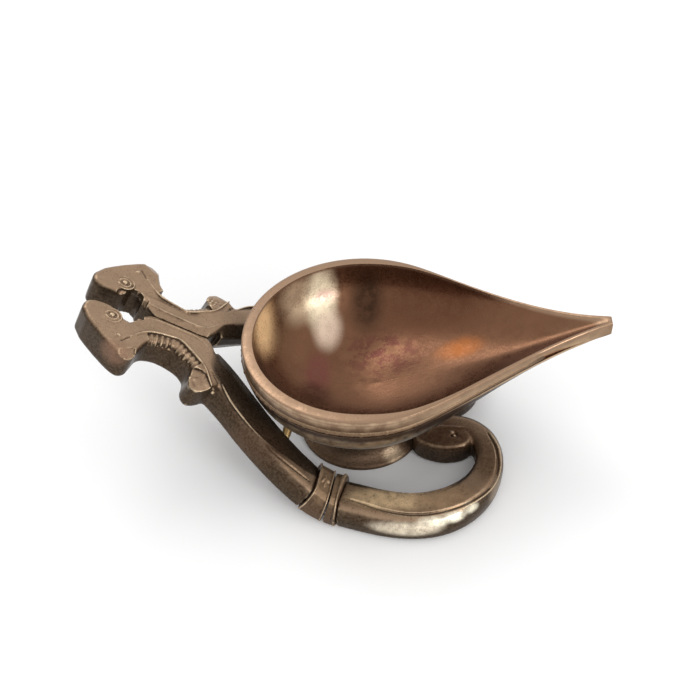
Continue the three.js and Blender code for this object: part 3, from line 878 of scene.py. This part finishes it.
def bowl_brass():
    """Patches lighter than reflection_from are painted reflections; the rest are stains and darker
    tones, among them the painted shade of the near wall and a painted dark reflection.
    """
    finish = Finish("bowl_brass")
    wear_and_shade = finish.attribute("wear_and_shade")
    drop = finish.attribute("below_rim")
    inside = finish.attribute("inside")
    broad = finish.noise(11)
    middle = finish.noise(3.2, rough=0.65)
    fine = finish.noise(0.8, detail=4)
    brushed = finish.noise(0.6, stretch=(0.15, 0.6, 1), detail=2)
    stains = finish.noise(5, detail=6, rough=0.75)
    lip = finish.patch((45, 0, 42), (30, 60, 60), 0.45)
    floor = finish.mix(0.5 * broad, colour(120, 85, 63), colour(102, 70, 51))
    glow = 0.0
    for tint, centre, radii, amount in bowl_patches:
        light = min(tint[:3]) > reflection_from
        share = finish.patch(centre, radii, 0.6) * amount * (1 if light else 0.75 + 0.35 * middle)
        floor = finish.mix(share, floor, tint)
        if light:
            glow = finish.node("ShaderNodeMath", {"operation": "MAXIMUM"}, {0: glow, 1: share})
    patina = finish.patch((8, 12, 21), (13, 9, 5), 0.7) * stains.ramp(0.35, 0.75)
    floor = finish.mix(0.8 * patina, floor, colour(92, 50, 46))
    floor = finish.mix(0.16 * (1 - middle), floor, colour(86, 56, 42))
    top = finish.mix(0.22 * middle, colour(156, 127, 103), colour(126, 101, 80))
    under_rim = finish.mix(lip, colour(86, 62, 43), colour(192, 164, 132))
    upper = finish.mix(drop.ramp(0.6, 4.2), colour(150, 122, 98), under_rim)
    # Painted shade: below the moulding the outside turns dark, and darker still towards the bottom.
    belly = finish.mix(drop.ramp(6, 16), colour(56, 39, 26), colour(34, 23, 15))
    outside = finish.mix(drop.ramp(4.6, 6.2), upper, belly)
    outside = finish.mix(0.25 * (1 - middle), outside, colour(60, 42, 28))
    inner = finish.mix(drop.ramp(0.3, 1.3), top, floor)
    crown = finish.attribute("top").ramp(0.35, 0.8) * (1 - drop.ramp(0.8, 1.6))
    base = finish.mix(inside, finish.mix(crown, outside, top), inner)
    # Outside, the hollows get soot and a painted shade, and all edges polish and a painted highlight.
    grooves = (0 - wear_and_shade).ramp(0.15, 0.9)
    edges = (wear_and_shade + 0.25 * (middle - 0.5)).ramp(0.35, 1.0)
    base = finish.mix(0.5 * grooves * (1 - inside), base, soot_and_groove_shade)
    base = finish.mix(0.4 * edges, base, edge_polish_and_highlight)
    roughness = 0.32 + 0.12 * (middle - 0.5) + 0.08 * fine - 0.06 * inside
    height = 0.3 * fine * (1 - inside) + 0.2 * brushed + 0.35 * middle
    return finish.close(base, 0.85 - 0.6 * inside * glow, roughness, height, 0.03)


def store_inside(piece):
    """Marks the points that line the bowl, whose surface faces its middle or looks up."""
    points, normals = places_of(piece)
    x, y, _ = points.T
    nx, ny, nz = normals.T
    away_x = np.where(x > bowl_centre, 0, x - bowl_centre)
    reach = np.maximum(np.hypot(away_x, y), 0.01)
    outward = (nx * away_x + ny * y) / reach
    faces_in = np.maximum(soft_step(-outward, -0.05, 0.15), soft_step(nz, 0.4, 0.6)) * (nz > -0.3)
    store(piece, "inside", faces_in * soft_step(below_rim(piece), -0.2, 0.25))


# %% [markdown]
# The CAD piece already has the bowl's rings of points, so its copy only needs its triangles
# paired into squares, a small bevel on its corners and a subdivision to make it round. Polish
# shows every crease, so the middle of the floor is evened out, and the corners of the tip,
# which hands have worn, are rounded.

# %% Model the bowl
floor_reach = 24
floor_kept_inside = 12
floor_middle = 4
floor_depth = 8
surface_degree = 6
worn_tip = 2.2
corner_angle = math.radians(35)


def even_floor(piece):
    """Draws the heights of the floor's middle to the nearest smooth surface, a polynomial of two
    variables, by less than half a millimetre."""
    points, normals = places_of(piece)
    along, across = points[:, 0] - bowl_centre - floor_middle, points[:, 1]
    reach = np.hypot(along, across)
    floor = (reach < floor_reach) & (normals[:, 2] > 0.3) & (below_rim(piece) > floor_depth)
    powers = [(i, j) for i in range(surface_degree + 1) for j in range(surface_degree + 1 - i)]
    u, v = along[floor] / floor_reach, across[floor] / floor_reach
    terms = np.stack([u ** i * v ** j for i, j in powers], axis=1)
    heights = points[floor, 2]
    even = terms @ np.linalg.lstsq(terms, heights, rcond=None)[0]
    change = (even - heights) * (1 - soft_step(reach[floor], floor_kept_inside, floor_reach))
    print("floor points:", len(heights), "most moved:", round(float(np.abs(change).max()), 2), "mm")
    places = np.empty(len(points) * 3)
    piece.data.vertices.foreach_get("co", places)
    places[2::3][floor] += change * MM
    piece.data.vertices.foreach_set("co", places)
    piece.data.update()


def round_tip(piece):
    """Smooths the last millimetres of the lip."""
    points, _ = places_of(piece)
    only(piece)
    piece.data.vertices.foreach_set("select", points[:, 0] > lip_tip - worn_tip)
    bpy.ops.object.mode_set(mode="EDIT")
    bpy.ops.mesh.select_mode(type="VERT")
    bpy.ops.mesh.vertices_smooth(factor=0.5, repeat=6)
    bpy.ops.object.mode_set(mode="OBJECT")


def round_off(piece, width):
    """Bevels a piece's corners and subdivides it."""
    apply_modifier(piece, "BEVEL", width=width * MM, segments=2, limit_method="ANGLE",
                   angle_limit=corner_angle)
    apply_modifier(piece, "SUBSURF", levels=2, render_levels=2)


def bowl_piece():
    piece = clay_copy("bowl", "cast_bowl")
    bpy.ops.object.mode_set(mode="EDIT")
    bpy.ops.mesh.select_all(action="SELECT")
    bpy.ops.mesh.tris_convert_to_quads(face_threshold=math.radians(60), shape_threshold=math.radians(80))
    bpy.ops.object.mode_set(mode="OBJECT")
    round_off(piece, width=0.22)
    even_floor(piece)
    round_tip(piece)
    store(piece, "below_rim", below_rim(piece))
    store_inside(piece)
    store_facing(piece)
    store_wear_and_shade(piece, reach=0.10)
    hand_over(piece, bowl_brass(), "polished_brass", "bowl")


bowl_piece()

# %% [markdown]
# Below the rim runs a moulding of small cast beads, uneven as if each was pressed into the
# wax by hand. One bead is modelled, and its copies are set side by side along the wire that
# the CAD piece follows, each a little bigger or smaller than the last. An Array modifier on a
# curve would space them more easily, but would make them all alike.

# %% Model the row of beads
bead_step = 2.45
bead_radii = (1.2, 1.06, 1.06)
wire_swell = 0.25
lip_from = 12


def middle_line(wire):
    """The wire's middle, found from its rings of points, in order round the bowl."""
    points = places_of(wire)[0] * MM
    rings = {}
    for x, y, z in points:
        round_back = x < lip_from * MM
        key = round(math.atan2(y, x - bowl_centre * MM), 2) if round_back else (round(x, 4), y > 0)
        rings.setdefault(key, []).append((x, y, z))
    middles = [np.mean(ring, axis=0) for ring in rings.values() if len(ring) >= 8]
    return np.array(sorted(middles, key=lambda m: math.atan2(m[1], m[0]) % (2 * math.pi)))


def beads_piece(chance):
    wire = clay_copy("beaded_moulding", "bead_row")
    line = middle_line(wire)
    steps = np.r_[0, np.cumsum(np.linalg.norm(np.diff(line, axis=0), axis=1))]
    bpy.ops.mesh.primitive_uv_sphere_add(segments=10, ring_count=6, radius=1)
    pattern = bpy.context.object
    beads = []
    for at in np.arange(1.2 * MM, steps[-1] - 1 * MM, bead_step * MM):
        x, y, z = (np.interp(at, steps, line[:, i]) for i in range(3))
        next_x, next_y = (np.interp(at + 0.5 * MM, steps, line[:, i]) for i in range(2))
        heading = math.atan2(next_y - y, next_x - x)
        size = chance.uniform(0.86, 1.08)
        copy = bpy.data.objects.new("bead", pattern.data.copy())
        copy.data.transform(
            Matrix.Translation((x + lamp_shift, y, z + chance.uniform(-0.1, 0.1) * MM))
            @ Matrix.Rotation(heading, 4, "Z")
            @ Matrix.Diagonal([r * size * MM for r in bead_radii]).to_4x4())
        bpy.context.scene.collection.objects.link(copy)
        beads.append(copy)
    bpy.data.objects.remove(pattern)
    apply_modifier(wire, "DISPLACE", strength=wire_swell * MM, mid_level=0)
    print("beads:", len(beads))
    join(wire, beads)
    store(wire, "wear_and_shade", np.zeros(len(wire.data.vertices)))
    store_facing(wire)
    return wire


# The beads' lighter face colour on top is painted light, and their darker wall colour painted shade.
bead_finish = cast_brass("bead_brass", face=colour(164, 138, 110), wall=colour(112, 88, 66), rough=0.42)
hand_over(beads_piece(random.Random(3)), bead_finish, "dark_brass", "beaded_moulding")

# %% [markdown]
# The foot is turned: a flared ring with a narrow waist, hollow below. A circle is extruded
# and scaled ring by ring along its profile, as a turner works along a blank. Spin would turn
# the whole profile at once, but leaves a seam that has to be closed.

# %% Model the foot
def curve(first, pull, last, steps):
    """Points along a smooth curve between two points, drawn towards a third."""
    return [tuple((1 - t) ** 2 * a + 2 * t * (1 - t) * b + t ** 2 * c for a, b, c in zip(first, pull, last))
            for t in np.linspace(0, 1, steps)]


foot_height = 16.3
foot_waist = 14.5
foot_edge = 20.6
foot_roof = foot_height - 2.4
middle_dot = 0.4


def foot_piece():
    flare = curve((foot_waist, foot_height), (foot_waist, 3.2), (foot_edge - 0.6, 1.6), 10)
    hollow = curve((18.0, 0), (11.9, 2.6), (11.9, foot_roof), 8)
    profile = [*flare, (foot_edge, 1.1), (foot_edge, 0), *hollow, (middle_dot, foot_roof)]
    bpy.ops.mesh.primitive_circle_add(
        vertices=64, radius=middle_dot * MM, location=(lamp_shift, 0, foot_height * MM))
    piece = bpy.context.object
    piece.name = "turned_foot"
    bpy.ops.object.transform_apply(location=True)
    bpy.ops.object.mode_set(mode="EDIT")
    bpy.ops.mesh.select_all(action="SELECT")
    bpy.ops.mesh.edge_face_add()
    last_radius, last_height = middle_dot, foot_height
    for radius, height in profile:
        bpy.ops.mesh.extrude_region_move(
            TRANSFORM_OT_translate={"value": (0, 0, (height - last_height) * MM)})
        scale = radius / last_radius
        bpy.ops.transform.resize(value=(scale, scale, 1), center_override=(lamp_shift, 0, height * MM))
        last_radius, last_height = radius, height
    bpy.ops.object.mode_set(mode="OBJECT")
    face_out(piece)
    round_off(piece, width=0.35)
    store_wear_and_shade(piece, reach=0.10)
    store_facing(piece)
    return piece


foot_patches = (
    # Painted shade on the foot's top, under the bowl:
    (colour(28, 18, 11), (-6, -13, 12), (16, 9, 8), 1.0),
    # A painted highlight and painted light on the front of the flare:
    (colour(206, 180, 150), (11.5, -15.6, 2.6), (3.6, 3.2, 2), 0.9),
    (colour(122, 98, 80), (2, -19, 2.4), (8, 2.4, 1.6), 0.6))
# The foot's face colour is painted light on what looks up, and its wall colour painted shade on its sides.
foot_finish = cast_brass(
    "foot_brass", face=colour(104, 80, 60), wall=colour(72, 54, 38), patches=foot_patches, rough=0.4,
    depth=0.07)
hand_over(foot_piece(), foot_finish, "dark_brass", "foot_ring")

# %% [markdown]
# Two collars hide the joint between a neck and its loop: a wide one with a small pressed leaf
# on its top and a raised ring at each end, and a narrow one with a single ring. The arm's inner
# side slopes there, so the same slope is cut from their upper corner, before the rings go on.

# %% Model the bands
# The collars' face colour is painted light on their tops, and their wall colour painted shade.
band_finish = cast_brass("band_brass", face=colour(172, 142, 112), wall=colour(84, 63, 45), rough=0.33)
band_section = [
    (-1.0, 0.14), (-1.0, 0.84), (-0.7, 1), (-0.1, 1), (0.5, 1), (0.76, 0.93), (0.94, 0.7), (1, 0.42),
    (0.96, 0.1)]
band_heading = math.radians(14.4)
joint_place = (-9.3, 35.9)
arm_width = 13.3
band_step = 1.1
band_lean = -0.6
band_ends = {"wide": (-9.4, 0.4), "narrow": (-0.2, 5.2)}
band_grooves = {"wide": ((-1.75, 0.3), (-6.9, 0.28)), "narrow": ((2.9, 0.3),)}
band_rings = {"wide": ((-0.85, 0.5), (-8.5, 0.45)), "narrow": ((4.0, 0.6),)}
leaf_folds = ((-4.9, -2.6, 60), (-3.4, -1.6, 20), (-4.4, 0.2, 100), (-5.8, -1.0, 140))


def on_band(along, across):
    """A place on the bands, so many millimetres along the arm from the joint and across it."""
    return (joint_place[0] + along * math.cos(band_heading) - across * math.sin(band_heading),
            joint_place[1] + along * math.sin(band_heading) + across * math.cos(band_heading))


def round_the_arm(along):
    """A line of points over the bands' outside, so many millimetres along the arm from the joint."""
    return [(*on_band(along, out * (arm_width / 2 + band_step) + band_lean), up * (arm_thickness + band_step))
            for out, up in band_section]


def band_piece(name, side, kind):
    piece = clay_copy(f"{name}_{kind}_band", f"{name}_{kind}_collar")
    melt(piece, voxel=0.22, passes=3)
    first, last = band_ends[kind]
    corner = [(*on_band(along, across), high) for along, across, high in
              ((first, -9.5, 6.6), (last, -9.5, 6.6), (last, -4.6, 9.9), (first, -4.6, 9.9))]
    cut(piece, slab(corner, 12, side))
    for along, wire in band_grooves[kind]:
        cut(piece, strand(round_the_arm(along), wire, side))
    relief = [strand(round_the_arm(along), wire, side) for along, wire in band_rings[kind]]
    if kind == "wide":
        for along, across, turn in leaf_folds:
            relief.append(bead((*on_band(along, across), 9.75), (1.5, 0.7, 0.55), turn, side))
    join(piece, relief)
    melt(piece, voxel=0.2, passes=2)
    store_wear_and_shade(piece, reach=0.12)
    store_facing(piece, side)
    hand_over(piece, band_finish, "aged_brass", f"{name}_{kind}_band")


for name, side in arms.items():
    for kind in band_ends:
        band_piece(name, side, kind)

# %% [markdown]
# A short pin of yellower brass braces each neck against the bowl. It is a plain filed rod, so
# its copy is only melted, which rounds its ends.

# %% Model the pins
# The pin's face colour is painted light on top, its wall colour painted shade, and its pale edge colour
# polish with a painted highlight.
pin_finish = cast_brass(
    "pin_brass", face=colour(160, 130, 82), wall=colour(118, 92, 54), edge=colour(250, 230, 170), rough=0.34)


def pin_piece(name):
    piece = clay_copy(f"{name}_bowl_pin", f"{name}_brace_pin")
    melt(piece, voxel=0.16, passes=3)
    store_wear_and_shade(piece, reach=0.06)
    store_facing(piece)
    hand_over(piece, pin_finish, "yellow_brass", f"{name}_bowl_pin")


for name in arms:
    pin_piece(name)
